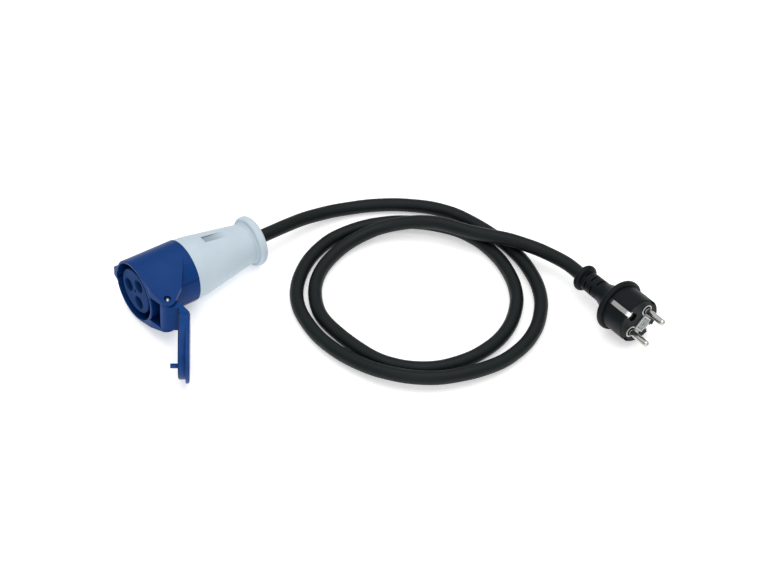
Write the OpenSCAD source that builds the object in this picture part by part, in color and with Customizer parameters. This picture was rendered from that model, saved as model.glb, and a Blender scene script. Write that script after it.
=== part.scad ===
// Adapter cable: a three-contact coupler socket with a hinged lid, a rubber cable in two loose turns,
// and a moulded round plug with two pins. All lengths are in millimetres.
// The origin is on the coupler's axis, just behind the contact carrier's face. +X runs out of the mouth,
// +Y to the hinge, +Z up. The coupler lies nose up, on the sleeve's rear edge and the rear flange.

/* [Sleeve] */
// Outside radius of the coupler's sleeve
sleeve_r = 24; // [23:0.5:27]
// Wall of the sleeve
sleeve_wall = 1.8; // [1.6:0.1:2.2]
// Length of the sleeve, mouth to rear edge
sleeve_len = 42; // [40:1:48]
// Depth of the ring gap that takes a mating shroud, from the mouth
gap_depth = 30; // [26:1:32]
// Width of the keyway opposite the hinge
key_w = 6.4; // [4:0.2:8]
// How far the keyway's rib stands out from the sleeve
rib_h = 3.6; // [1:0.2:4]
// Length of that rib, from the mouth
rib_len = 5; // [3:0.5:12]

/* [Hinge] */
// Distance of the hinge axis outside the sleeve's skin
hinge_out = 9; // [7:0.5:11]
// Distance of the hinge axis behind the mouth
hinge_back = 8; // [7:0.2:11]
// Diameter of the hinge pin
hinge_pin_d = 3; // [2:0.25:4]
// Radius of the lid's knuckle
knuckle_r = 5.5; // [4.5:0.25:6]
// Width of the lid's knuckle, along the pin
knuckle_w = 22; // [14:1:24]
// Thickness of each hinge ear at the pin
ear_t = 3.25; // [2:0.25:4]
// Reach of the ears' cheeks behind the mouth
ear_reach = 26; // [24:0.5:30]

/* [Lid] */
// Radius of the lid's rim
lid_r = 23.6; // [23:0.1:23.7]
// Depth of the lid, gasket face to outer face
lid_depth = 8; // [7:0.2:11]
// Thickness of the lid's outer plate
lid_plate = 2.6; // [2:0.2:3.6]
// How far the plate's thumb lip reaches past the rim, opposite the hinge
lid_lip = 4; // [1:0.5:5]
// Angle at which the lid stands open
lid_open = 146; // [120:1:160]
// Thickness of the lid's gasket
gasket_t = 2.8; // [2:0.2:3.6]
// Reach of the retaining lug below the gasket face
lug_reach = 5.2; // [3:0.2:7]
// Thickness of the retaining lug
lug_t = 2.2; // [2:0.2:3]

/* [Contacts] */
// Radius of the contact carrier
carrier_r = 17.4; // [17:0.1:17.6]
// Distance of the carrier's face behind the mouth
face_setback = 1.5; // [1:0.25:3]
// Diameter of the circle that the contacts stand on
contact_pcd = 17.8; // [16.6:0.2:18.6]
// Bore of the line and neutral contacts
pole_bore_d = 5.1; // [4.8:0.05:5.4]
// Bore of the earth contact
earth_bore_d = 6.1; // [5.8:0.05:6.4]
// Wall of the contact tubes
tube_wall = 0.9; // [0.7:0.05:1.2]
// Length of the contact tubes' open bore
bore_len = 20; // [16:1:22]
// Diameter of the lead-in funnel in the carrier's face
funnel_d = 10.4; // [9:0.2:11.6]
// Depth of that funnel
funnel_depth = 4.6; // [3:0.2:6]
// Side of the square terminal blocks
terminal_w = 8.4; // [7.6:0.2:9]
// Length of the terminal blocks
terminal_len = 10; // [8:0.5:12]
// Diameter of the terminal screws
terminal_screw_d = 3; // [2.5:0.25:3.5]
// Diameter of an insulated wire
core_d = 3; // [2.4:0.1:3.2]

/* [Grip] */
// Length of the grip behind the sleeve
grip_len = 63; // [58:0.5:70]
// Step from the sleeve's skin down to the grip's
grip_step = 0.2; // [0.1:0.1:1]
// Distance of the grip's shoulder behind the sleeve
shoulder_at = 10; // [8:1:12]
// Clearance of that shoulder above the floor
shoulder_gap = 0.3; // [0.2:0.1:2]
// Radius of the grip's neck
neck_r = 15.6; // [15.4:0.2:16.4]
// Radius of the rear flange
flange_r = 19.5; // [18.75:0.25:21]
// Thickness of the rear flange
flange_t = 6.4; // [5:0.2:8]
// Wall of the grip
grip_wall = 2.4; // [2:0.1:2.8]
// Width of the latch slots
slot_w = 6.6; // [4:0.2:8]
// Length of the latch slots' ramp
slot_len = 20; // [12:1:24]
// Depth of the latch slots at their steep end
slot_depth = 1.8; // [0.8:0.1:2]
// Distance of the latch slots' steep end behind the sleeve
slot_at = 17.5; // [15:0.5:22]
// Thickness of the cable clamp's saddle over the cable
saddle_t = 3; // [2.4:0.2:3.4]
// Length of the saddle along the cable
saddle_len = 8; // [6:0.5:10]
// Diameter of the clamp screws
clamp_screw_d = 3; // [2.5:0.25:3.5]

/* [Cable] */
// Outside diameter of the cable
cable_d = 10.4; // [9.6:0.1:10.6]
// Sides of the cable's section
cable_sides = 12; // [8:2:12]

/* [Plug] */
// Radius of the plug's barrel
barrel_r = 17.4; // [17:0.1:18.5]
// Length of the barrel, face to collar
barrel_len = 19.5; // [17:0.5:22]
// Radius of the collar
collar_r = 20; // [19.25:0.25:22]
// Thickness of the collar
collar_t = 5; // [4:0.5:7]
// Length of the plug, face to the end of its strain relief
plug_len = 62.5; // [58:0.5:68]
// Radius of the neck where the flare ends
neck_front_r = 7.9; // [7.6:0.1:8.6]
// Radius of the neck at the end ring
neck_rear_r = 7.5; // [7.2:0.1:7.8]
// Radius of the flare between collar and neck
flare_r = 8.6; // [5:0.2:9]
// Radius of the end ring
ring_r = 10.3; // [9.6:0.1:11.4]
// Thickness of the end ring
ring_t = 5.5; // [4:0.5:7]
// Width of the slits in the strain relief
slit_w = 1.2; // [0.8:0.1:1.6]
// Distance between slits
slit_pitch = 3.2; // [2.8:0.2:4]
// Number of slits on the two sides together
slit_count = 5; // [2:1:5]
// Diameter of the plug's pins
plug_pin_d = 4.8; // [4:0.1:5]
// Length of the pins past the face
plug_pin_len = 18.5; // [17:0.5:20]
// Distance between the pins
plug_pin_gap = 19; // [18.4:0.2:19.6]
// Distance of the earth socket from the pin line
earth_hole_out = 9.2; // [9:0.2:10]
// Bore of the earth socket
earth_hole_d = 5; // [4.6:0.1:5.2]
// Width of the earth clips
clip_w = 3.4; // [2.8:0.2:4.4]
// Thickness of the earth clips
clip_t = 1.1; // [0.8:0.1:1.4]
// Width of the guide grooves at the ends of the pin line
guide_w = 5; // [4:0.2:6]
// Depth of those grooves
guide_depth = 2; // [1:0.2:2.4]

/* [Lie] */
// Heading of the plug's pins, from +X towards +Y
plug_heading = 89; // [86:0.5:92]
// Turn of the plug about its own axis
plug_turn = 40; // [0:5:90]
// Angle by which the plug's nose is raised
plug_up = 4; // [0:0.5:6]

/* [Hidden] */
$fn = 64;
blue = "#1d4a94";
pale = "#c8d5dc";
black = "#1f2628";
brass = "#c9a24a";
steel = "#c9ccd0";
grey = "#b9bec0";

// Clearances: a pin in its holes, seated pieces, the knuckle between its ears, and stops
pin_gap = 0.08;
seat_gap = 0.1;
run_gap = 0.25;
stop_gap = 0.3;
// Edge breaks on moulded rims
edge = 0.6;
// Extra reach of cutting solids
past = 1;

// Coupler stations along its axis; the carrier's face is a little ahead of the origin
face_x = 1;
mouth_x = face_x + face_setback;
sleeve_rear = mouth_x - sleeve_len;
gap_floor = mouth_x - gap_depth;
web_t = 2;
web_rear = gap_floor - web_t;
inner_r = sleeve_r - sleeve_wall;
// Keyway groove, cut a little into the sleeve's wall
key_depth = sleeve_wall / 2;

// The carrier steps in to pass the sleeve's web, just above the floor of the ring gap
waist_in = 0.4;
carrier_waist_r = carrier_r - waist_in;
carrier_step = gap_floor + stop_gap;
// The carrier's flange is held between the sleeve's web and the grip's spigot
carrier_flange_t = 3.6;
carrier_flange_rear = web_rear - seat_gap - carrier_flange_t;
carrier_tail = 3;
carrier_rear = carrier_flange_rear - carrier_tail;
carrier_tail_r = inner_r - seat_gap - grip_wall - 2 * seat_gap;
dimple_r = 1;
spigot_r = inner_r - seat_gap;
spigot_front = carrier_flange_rear - seat_gap;

// Contacts: bore diameter and place round the axis, counted from the hinge
pole_bore_r = pole_bore_d / 2;
earth_bore_r = earth_bore_d / 2;
line_angle = 60;
neutral_angle = -60;
earth_angle = 180;
bore_mouth = face_x - funnel_depth;
shank_rear = carrier_rear - seat_gap;
terminal_rear = shank_rear - terminal_len;
wire_hole_depth = 6;
terminal_screw_at = shank_rear - terminal_len / 2;
terminal_head_h = 1.2;

// Hinge
hinge_x = mouth_x - hinge_back;
hinge_y = sleeve_r + hinge_out;
hinge_pin_r = hinge_pin_d / 2;
ear_inner = knuckle_w / 2 + run_gap;
ear_outer = ear_inner + ear_t;
// The ears' outer faces run almost tangent into the sleeve, to this [y, z] place just under its skin
ear_sink = 0.06;
ear_root = touch([hinge_y, ear_outer], [0, 0], sleeve_r - ear_sink, 1);
cheek_r = 12;
pin_sink = 1.1;
pin_half = ear_outer - pin_sink;
pin_sink_r = hinge_pin_r + pin_sink;
// Relief in the sleeve behind the ears, deep at its upper edge and shallow at the lower one: its floor is
// a cylinder of the sleeve's radius moved by this [y, z]
recess_high = 0.8;
recess_low = 0.15;
recess_half = knuckle_w * 0.4;
recess_turn = asin(recess_half / sleeve_r);
recess_move = -[(recess_high + recess_low) / cos(recess_turn),
    (recess_high - recess_low) / sin(recess_turn)] / 2;
// The knuckle's heel stops the open lid on the sleeve
heel_w = 4;
heel_reach = hinge_out - stop_gap;
heel_len = knuckle_w * 0.6;

// Lid, modelled shut and then swung open
lid_face = mouth_x + stop_gap;
lid_top = lid_face + lid_depth;
lid_seat = lid_face + gasket_t * 0.6;
gasket_rim = 0.5;
gasket_out = lid_r - gasket_rim;
gasket_in = gasket_out - sleeve_wall;
lid_inner_r = gasket_in - 2 * gasket_rim;
lug_out = gasket_in - stop_gap;
lug_w = 2.6;

// Grip stations
grip_r = sleeve_r - grip_step;
grip_rear = sleeve_rear - grip_len;
flange_front = grip_rear + flange_t;
// The neck sweeps into the flange by a fillet, and the flange's edges are rounded
flange_round = 2.2;
neck_fillet = flange_r - flange_round - neck_r;
neck_x = flange_front + neck_fillet;
shoulder_x = sleeve_rear - shoulder_at;
slot_front = sleeve_rear - slot_at;
slot_rear = slot_front - slot_len;
cable_r = cable_d / 2;
seal_wall = 3.2;
seal_r = cable_r + seal_wall;
seal_lip = 1;
seal_rear = grip_rear + seal_lip;
seal_front = grip_rear + flange_t + seal_lip;
end_wall = 1.6;
end_wall_front = seal_front + end_wall;
// Free length of the wires between the jacket's end and the terminals
core_run = 27;
jacket_end = terminal_rear - core_run;
// Seal in a groove round the spigot, halfway along the part that the sleeve covers
groove_w = 2.4;
groove_depth = 1.2;
seal_groove_x = (spigot_front + sleeve_rear) / 2;
seal_cord_r = groove_depth / 2;
// How deep the clamp screws go into the bed
clamp_bite = 6;
clamp_wall = 1;
clamp_head_h = 1.6;
clamp_x = end_wall_front + saddle_len / 2 + clamp_screw_d;
clamp_reach = neck_r - 2 * grip_wall - clamp_wall;
clamp_screw_out = cable_r + clamp_screw_d / 2 + clamp_wall;

// Rest on the floor: the line from the sleeve's rear edge to the flange's rounded edge lies level
rest_run = grip_len - flange_round;
rest_drop = sleeve_r - flange_r + flange_round;
nose_up = atan2(rest_drop, rest_run) - asin(flange_round / norm([rest_run, rest_drop]));
floor_z = sleeve_rear * sin(nose_up) - sleeve_r * cos(nose_up);
shoulder_r = sleeve_r - shoulder_at * tan(nose_up) - shoulder_gap;

// Plug stations along its own axis, from its face
collar_front = -barrel_len;
collar_rear = collar_front - collar_t;
collar_round = collar_t * 0.42;
ring_mid = -plug_len + ring_t / 2;
neck_end = collar_rear - flare_r;
// The slits go almost half round, down to a thin skin over the cable
slit_first = -plug_len + ring_t + slit_w;
slit_skin = 0.6;
slit_floor = cable_r + slit_skin;
slit_web = 1.5;
cable_hole = 20;
// How far the earth clips run under the collar, and the pins into the body
clip_root = 3;
pin_root = 12;
plug_pin_r = plug_pin_d / 2;
bridge_ring = 1;
pin_well_r = plug_pin_r + bridge_ring;
pin_well = 2;
// The bridge's block sits off the pin line, away from the earth socket
bridge_len = 11.3;
bridge_w = 8.9;
bridge_t = 2.4;
bridge_proud = 1;
bridge_off = -5.3;
bridge_rim = 0.9;
panel_sink = 0.3;
dent_depth = 0.8;
dent_w = 1.2;
socket_wall = 0.6;
socket_len = 14;
socket_sink = 3;
channel_floor = barrel_r - clip_t - seat_gap;
clip_head_w = clip_w + 2 * clip_t;
clip_head_in = earth_hole_out + earth_hole_d / 2 + socket_wall;
clip_head_x = -0.5;

// The plug lies on its collar's rear edge, the middle of its face over this place
plug_place = [-273, 237.8];
plug_high = floor_z + (collar_r - collar_round) * cos(plug_up) + collar_round
    - (collar_rear + collar_round) * sin(plug_up);

// Cable route: place on the floor, and lift of the cable above lying flat
ROUTE = [
    [-151, -3, 6], [-185, 2, 0.5], [-215, 18, 0], [-245, 50, 0], [-256, 86, 0], [-257, 129, 0],
    [-242, 167, 0], [-214, 191, 0], [-182, 199, 1], [-153, 195, 3], [-127, 183, 4], [-106, 161, 4],
    [-93, 130, 2], [-90, 92, 0], [-99, 59, 0], [-121, 36, 0], [-155, 23, 0], [-190, 28, 0],
    [-222, 49, 0], [-242, 80, 0], [-244, 118, 0], [-228, 156, 0], [-198, 178, 0], [-163, 182, 0],
    [-134, 172, 0], [-114, 151, 0], [-104, 116, 0], [-105, 78, 0], [-123, 51, 0], [-156, 36, 1],
    [-190, 39, 5], [-220, 61, 11], [-241, 92, 11], [-257, 114, 11], [-269, 137, 10]];
// The cable runs straight for this far out of the grip and out of the plug, and just clears the floor
straight_run = 1.5 * cable_d;
floor_gap = 0.3;
// The cable's centre line: inside the grip, along the route, and into the plug
cable_points = concat(
    [lying(jacket_end), lying(grip_rear), lying(grip_rear - straight_run)],
    [for (p = ROUTE) [p.x, p.y, floor_z + floor_gap + cable_r + p.z]],
    [for (x = [-straight_run, 0, cable_hole]) on_plug_axis(x - plug_len)]);

// Points of a circular arc from angle a0 to a1
function arc(c, r, a0, a1, n = 8) =
    [for (i = [0 : n]) c + r * [cos(a0 + (a1 - a0) * i / n), sin(a0 + (a1 - a0) * i / n)]];

// Where a line from p touches the circle of radius r about c, on the side given by 1 or -1
function touch(p, c, r, side) =
    let (v = p - c, turn = atan2(v.y, v.x) + side * acos(r / norm(v)))
    c + r * [cos(turn), sin(turn)];

// Outside radius of the grip at station x, between its sleeve end, shoulder and neck
function grip_at(x) = x > shoulder_x
    ? grip_r + (shoulder_r - grip_r) * (sleeve_rear - x) / shoulder_at
    : shoulder_r + (neck_r - shoulder_r) * (shoulder_x - x) / (shoulder_x - neck_x);

// A point of the coupler's own frame, and of the plug's own axis, as they lie on the floor
function lying(x) = [x * cos(nose_up), 0, x * sin(nose_up)];
function on_plug_axis(x) = [plug_place.x, plug_place.y, plug_high]
    + x * [cos(plug_heading) * cos(plug_up), sin(plug_heading) * cos(plug_up), sin(plug_up)];

// Coupler pieces are modelled along X and then laid on the floor
module laid() { rotate([0, -nose_up, 0]) children(); }

// Plug pieces are modelled along X, with the pin line along Y, and then laid on the floor
module plug_laid() {
    translate([plug_place.x, plug_place.y, plug_high])
        rotate([0, -plug_up, plug_heading]) rotate([plug_turn, 0, 0]) children();
}

// A profile of [radius, x] points turned about X
module turned(points) { rotate([0, 90, 0]) rotate_extrude() polygon(points); }

// A rod along X between two stations, and one between two points
module rod_x(x0, x1, r) {
    translate([min(x0, x1), 0, 0]) rotate([0, 90, 0]) cylinder(h = abs(x1 - x0), r = r);
}
module rod(p, q, r) {
    v = q - p;
    translate(p) rotate([0, acos(v.z / norm(v)), atan2(v.y, v.x)]) cylinder(h = norm(v), r = r);
}

// A [y, z] outline carried along X from x0 to x1
module along_x(x0, x1) { translate([x0, 0, 0]) rotate([90, 0, 90]) linear_extrude(x1 - x0) children(); }

// Places one contact's pieces on the contact circle, its own outward direction along +Y
module at_contact(angle) { rotate([angle, 0, 0]) translate([0, contact_pcd / 2, 0]) children(); }

// Swings a lid piece from shut to open about the hinge
module opened() {
    translate([hinge_x, hinge_y, 0]) rotate([0, 0, lid_open]) translate([-hinge_x, -hinge_y, 0]) children();
}

// Hinge ear seen along the pin: a boss round the pin, a round cheek behind it, and edges to the sleeve
module ear_plan() {
    boss = [hinge_x, hinge_y];
    cheek = [mouth_x - ear_reach + cheek_r, sleeve_r - cheek_r / 3];
    front = [mouth_x - edge / 2, inner_r];
    rear = [mouth_x - ear_reach - cheek_r, ear_root.x];
    // The line that touches boss and cheek on their outer sides
    span = boss - cheek;
    turn = atan2(span.y, span.x) + acos((cheek_r - knuckle_r) / norm(span));
    out = [cos(turn), sin(turn)];
    translate(boss) circle(r = knuckle_r);
    translate(cheek) circle(r = cheek_r);
    // The straight edges enter the rounds by a hair
    boss_in = knuckle_r - ear_sink;
    cheek_in = cheek_r - ear_sink;
    polygon([[front.x, ear_root.x], front, touch(front, boss, boss_in, 1), boss + boss_in * out,
        cheek + cheek_in * out, touch(rear, cheek, cheek_in, -1), rear]);
}

// Both ears: the plan between two sloping faces, with the knuckle's slot cut out
module ears() {
    top_y = hinge_y + knuckle_r + past;
    slope = (ear_root.y - ear_outer) / (hinge_y - ear_root.x);
    top_z = ear_outer - slope * (knuckle_r + past);
    difference() {
        intersection() {
            translate([0, 0, -ear_root.y]) linear_extrude(2 * ear_root.y) ear_plan();
            along_x(sleeve_rear, mouth_x)
                polygon([[ear_root.x, -ear_root.y], [top_y, -top_z], [top_y, top_z],
                    [ear_root.x, ear_root.y]]);
        }
        translate([sleeve_rear, 0, -ear_inner]) cube([sleeve_len, top_y + past, 2 * ear_inner]);
    }
}

module sleeve() {
    color(blue) laid() difference() {
        union() {
            turned([[0, mouth_x], [sleeve_r - edge, mouth_x], [sleeve_r, mouth_x - edge],
                [sleeve_r, sleeve_rear], [0, sleeve_rear]]);
            ears();
            along_x(mouth_x - rib_len, mouth_x - edge / 2)
                polygon([[past - sleeve_r, -key_w], [-sleeve_r - rib_h, -key_w / 2 - edge],
                    [-sleeve_r - rib_h, key_w / 2 + edge], [past - sleeve_r, key_w]]);
        }
        turned([[0, mouth_x + past], [inner_r, mouth_x + past], [inner_r, gap_floor],
            [carrier_waist_r + seat_gap, gap_floor], [carrier_waist_r + seat_gap, web_rear],
            [inner_r, web_rear], [inner_r, sleeve_rear - past], [0, sleeve_rear - past]]);
        // Keyway for the mating plug's rib
        translate([gap_floor, -inner_r - key_depth, -key_w / 2])
            cube([gap_depth + past, 2 * key_depth, key_w]);
        // Shallow relief behind the ears, where the open lid's arm passes
        difference() {
            translate([sleeve_rear - past, 0, -recess_half])
                cube([sleeve_len - ear_reach + past, sleeve_r + past, 2 * recess_half]);
            translate([0, recess_move.x, recess_move.y]) rod_x(sleeve_rear - 2 * past, mouth_x, sleeve_r);
        }
        // Pin hole with a sunk seat in each ear
        translate([hinge_x, hinge_y, 0]) {
            cylinder(h = 2 * ear_outer + 2 * past, r = hinge_pin_r + pin_gap / 4, center = true);
            for (side = [0, 1]) mirror([0, 0, side])
                translate([0, 0, ear_outer - pin_sink]) cylinder(h = ear_outer, r = pin_sink_r);
        }
    }
}

module contact_carrier() {
    color(blue) laid() difference() {
        turned([[0, face_x], [carrier_r - edge, face_x], [carrier_r, face_x - edge],
            [carrier_r, carrier_step], [carrier_waist_r, carrier_step],
            [carrier_waist_r, web_rear - seat_gap], [spigot_r, web_rear - seat_gap],
            [spigot_r, carrier_flange_rear],
            [carrier_tail_r, carrier_flange_rear], [carrier_tail_r, carrier_rear], [0, carrier_rear]]);
        contact_chamber(line_angle, pole_bore_r);
        contact_chamber(neutral_angle, pole_bore_r);
        contact_chamber(earth_angle, earth_bore_r);
        // Moulding dimple in the middle of the face
        rod_x(face_x - edge, face_x + past, dimple_r);
    }
}

// Room for one contact: a through hole and its lead-in funnel
module contact_chamber(angle, bore_r) {
    tube_r = bore_r + tube_wall + seat_gap;
    flare = past * (funnel_d / 2 - tube_r) / funnel_depth;
    at_contact(angle) turned([[0, face_x + past], [funnel_d / 2 + flare, face_x + past],
        [tube_r, bore_mouth], [tube_r, carrier_rear - past], [0, carrier_rear - past]]);
}

// One contact: a tube for the pin, a solid shank, and a terminal block with a wire hole and a screw hole
module contact(angle, bore_r) {
    tube_r = bore_r + tube_wall;
    tube_front = bore_mouth - seat_gap;
    color(brass) laid() at_contact(angle) difference() {
        union() {
            rod_x(shank_rear - past, tube_front, tube_r);
            translate([terminal_rear, -terminal_w / 2, -terminal_w / 2])
                cube([terminal_len, terminal_w, terminal_w]);
        }
        rod_x(tube_front - bore_len, tube_front + past, bore_r);
        rod_x(terminal_rear - past, terminal_rear + wire_hole_depth, core_d / 2 + seat_gap);
        translate([terminal_screw_at, 0, 0]) rotate([-90, 0, 0])
            cylinder(h = terminal_w, r = terminal_screw_d / 2 + seat_gap / 2);
    }
}

module contact_line() { contact(line_angle, pole_bore_r); }
module contact_neutral() { contact(neutral_angle, pole_bore_r); }
module contact_earth() { contact(earth_angle, earth_bore_r); }

// A slotted screw along +Z, its head's underside at z = 0
module slotted_screw(d, len, head_d, head_h) {
    difference() {
        union() {
            translate([0, 0, -len]) cylinder(h = len, d = d);
            cylinder(h = head_h, d = head_d);
        }
        translate([-head_d, -head_d / 12, head_h / 2]) cube([2 * head_d, head_d / 6, head_h]);
    }
}

module terminal_screws() {
    tip = core_d / 2 + seat_gap;
    color(steel) laid() for (angle = [line_angle, neutral_angle, earth_angle])
        at_contact(angle) translate([terminal_screw_at, terminal_w / 2, 0]) rotate([-90, 0, 0])
            slotted_screw(terminal_screw_d, terminal_w / 2 - tip, terminal_screw_d * 1.7, terminal_head_h);
}

module hinge_pin() {
    color(steel) laid() translate([hinge_x, hinge_y, 0]) {
        cylinder(h = 2 * pin_half, r = hinge_pin_r, center = true);
        for (side = [0, 1]) mirror([0, 0, side]) translate([0, 0, pin_half])
            cylinder(h = pin_sink * 0.7, r1 = hinge_pin_r, r2 = hinge_pin_r * 0.6);
    }
}

// Lid arm seen along the pin, shut: round the knuckle and out to the lid's edge
module lid_arm_plan() {
    knuckle = [hinge_x, hinge_y];
    inside = hinge_y - knuckle_r;
    corner = [lid_top - edge, lid_r];
    back = [lid_face + edge, hinge_y];
    translate(knuckle) circle(r = knuckle_r);
    polygon([[hinge_x, inside], [lid_face, inside], [lid_face + edge, lid_inner_r], [corner.x, lid_inner_r],
        corner, back, touch(back, knuckle, knuckle_r, 1), knuckle]);
}

// Lid plate seen from the front: a disc drawn out by the lip
module lid_plan(r) {
    circle(r = r);
    translate([-lid_lip, 0]) circle(r = r);
    translate([-lid_lip, -r]) square([lid_lip, 2 * r]);
}

module lid() {
    color(blue) laid() opened() difference() {
        union() {
            // Rim with a groove for the gasket
            turned([[lid_inner_r, lid_face + edge], [gasket_in - seat_gap, lid_face + edge],
                [gasket_in - seat_gap, lid_seat], [gasket_out + seat_gap, lid_seat],
                [gasket_out + seat_gap, lid_face + edge], [lid_r, lid_face + edge],
                [lid_r, lid_top - lid_plate / 2], [lid_inner_r, lid_top - lid_plate / 2]]);
            // Outer plate, drawn out to a thumb lip opposite the hinge
            along_x(lid_top - lid_plate, lid_top - edge) lid_plan(lid_r);
            along_x(lid_top - lid_plate, lid_top) lid_plan(lid_r - edge);
            // Retaining lug that reaches into the ring gap
            translate([lid_face - lug_reach, -lug_out, -lug_w / 2])
                cube([lug_reach + lid_depth - lid_plate / 2, lug_t, lug_w]);
            // Arm and knuckle, kept outside the gasket's groove
            difference() {
                translate([0, 0, -knuckle_w / 2]) linear_extrude(knuckle_w) lid_arm_plan();
                rod_x(lid_face - past, lid_seat, gasket_out + seat_gap);
            }
            // Heel that stops the lid on the sleeve when it stands open
            translate([hinge_x, hinge_y, 0]) rotate([0, 0, -lid_open])
                translate([-heel_w, -heel_reach, -heel_len / 2]) cube([heel_w, heel_reach, heel_len]);
        }
        translate([hinge_x, hinge_y, 0])
            cylinder(h = knuckle_w + 2 * past, r = hinge_pin_r + pin_gap, center = true);
    }
}

module lid_gasket() {
    color(black) laid() opened()
        turned([[gasket_in, lid_seat - seat_gap], [gasket_in, lid_face + edge / 2],
            [gasket_in + edge, lid_face], [gasket_out - edge, lid_face],
            [gasket_out, lid_face + edge / 2], [gasket_out, lid_seat - seat_gap]]);
}

// Inside of the grip, from its spigot to the end wall
module grip_cavity() {
    turned([[0, spigot_front + past], [spigot_r - grip_wall, spigot_front + past],
        [spigot_r - grip_wall, sleeve_rear - grip_wall],
        [min(spigot_r, shoulder_r) - grip_wall, shoulder_x],
        [neck_r - grip_wall, neck_x], [neck_r - grip_wall, end_wall_front], [0, end_wall_front]]);
}

// Ramped slot for a latch, on the top of the grip
module latch_slot() {
    top = grip_r + past;
    translate([0, slot_w / 2, 0]) rotate([90, 0, 0]) linear_extrude(slot_w)
        polygon([[slot_front, grip_at(slot_front) - slot_depth], [slot_front, top], [slot_rear, top],
            [slot_rear, grip_at(slot_rear)]]);
}

module grip() {
    bed_top = -cable_r * 0.3;
    crown = flange_r - flange_round;
    color(pale) laid() {
        difference() {
            turned(concat([[0, spigot_front], [spigot_r, spigot_front], [spigot_r, sleeve_rear],
                [grip_r, sleeve_rear], [shoulder_r, shoulder_x]],
                arc([neck_r + neck_fillet, neck_x], neck_fillet, 180, 270),
                arc([crown, flange_front - flange_round], flange_round, 75, 0),
                arc([crown, grip_rear + flange_round], flange_round, 0, -90), [[0, grip_rear]]));
            grip_cavity();
            for (side = [0, 1]) mirror([0, 0, side]) latch_slot();
            // Groove for the seal between grip and sleeve
            difference() {
                rod_x(seal_groove_x - groove_w / 2, seal_groove_x + groove_w / 2, spigot_r + past);
                rod_x(seal_groove_x - groove_w, seal_groove_x + groove_w, spigot_r - groove_depth);
            }
            // Cable outlet, wide in front for the rubber seal
            rod_x(grip_rear - past, end_wall_front + past, cable_r + 2 * seat_gap);
            rod_x(seal_rear, end_wall_front + past, seal_r + seat_gap);
        }
        // Bed under the cable for the clamp
        difference() {
            intersection() {
                translate([clamp_x - saddle_len / 2, -clamp_reach, -neck_r])
                    cube([saddle_len, 2 * clamp_reach, neck_r + bed_top]);
                rod_x(clamp_x - saddle_len, clamp_x + saddle_len, grip_at(clamp_x) - grip_wall / 2);
            }
            rod_x(clamp_x - saddle_len, clamp_x + saddle_len, cable_r + seat_gap);
            for (side = [-1, 1]) translate([clamp_x, side * clamp_screw_out, bed_top - clamp_bite - past])
                cylinder(h = clamp_bite + 2 * past, r = clamp_screw_d / 2 + seat_gap / 2);
        }
    }
}

module housing_seal() {
    color(black) laid() translate([seal_groove_x, 0, 0]) rotate([0, 90, 0]) rotate_extrude()
        translate([spigot_r + seat_gap / 2 - seal_cord_r, 0]) circle(r = seal_cord_r);
}

module cable_clamp() {
    saddle_top = cable_r + saddle_t;
    color(grey) laid() difference() {
        along_x(clamp_x - saddle_len / 2, clamp_x + saddle_len / 2)
            polygon([[-clamp_reach, cable_r * 0.3], [clamp_reach, cable_r * 0.3], [clamp_reach, cable_r],
                [cable_r, saddle_top], [-cable_r, saddle_top], [-clamp_reach, cable_r]]);
        rod_x(clamp_x - saddle_len, clamp_x + saddle_len, cable_r + seat_gap);
        for (side = [-1, 1]) translate([clamp_x, side * clamp_screw_out, 0]) {
            cylinder(h = 2 * saddle_top, r = clamp_screw_d / 2 + seat_gap);
            translate([0, 0, cable_r]) cylinder(h = saddle_top, r = clamp_screw_d);
        }
    }
}

module clamp_screws() {
    color(steel) laid() for (side = [-1, 1])
        translate([clamp_x, side * clamp_screw_out, cable_r])
            slotted_screw(clamp_screw_d, cable_r * 1.3 + clamp_bite - seat_gap, clamp_screw_d * 1.8,
                clamp_head_h);
}

module cable_seal() {
    color(black) laid() turned([[cable_r + seat_gap, seal_rear + seat_gap], [seal_r, seal_rear + seat_gap],
        [seal_r, seal_front], [seal_r - seal_lip, seal_front + seal_lip],
        [cable_r + seat_gap, seal_front + seal_lip]]);
}

// One wire: from the end of the cable's jacket out to its contact and into the terminal
module core(angle, tint) {
    bundle = core_d * 0.62;
    out = contact_pcd / 2;
    start = [jacket_end, bundle, 0];
    leave = [jacket_end + core_d, bundle, 0];
    enter = [terminal_rear - core_d, out, 0];
    finish = [terminal_rear + wire_hole_depth - seat_gap, out, 0];
    // The bends are balls a little fatter than the wire
    bend_d = core_d * 1.06;
    color(tint) laid() rotate([angle, 0, 0]) {
        rod(start, leave, core_d / 2);
        translate(leave) sphere(d = bend_d);
        rod(leave, enter, core_d / 2);
        translate(enter) sphere(d = bend_d);
        rod(enter, finish, core_d / 2);
    }
}

module core_line() { core(line_angle, "#6b3f26"); }
module core_neutral() { core(neutral_angle, "#2c6fb5"); }
module core_earth() { core(earth_angle, "#8fae2b"); }

// A smooth curve through the points, two rings to a span. Its direction at a point is the mean of the
// directions to its neighbours, the nearer one counting more.
function heading_at(p, i, last) =
    let (back = p[max(i, 1)] - p[max(i, 1) - 1], ahead = p[min(i, last - 1) + 1] - p[min(i, last - 1)],
        b = norm(back), a = norm(ahead))
    (back * a / b + ahead * b / a) / (a + b);
function along(p, i, t, last) =
    let (span = norm(p[i + 1] - p[i]), u = 1 - t)
    p[i] * (1 + 2 * t) * u * u + heading_at(p, i, last) * span * t * u * u
    + p[i + 1] * t * t * (3 - 2 * t) - heading_at(p, i + 1, last) * span * t * t * u;
function cable_line(p, last) = concat(
    [for (i = [0 : last - 1]) for (t = [0, 0.5]) along(p, i, t, last)], [p[last]]);
function unit(v) = v / norm(v);

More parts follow.
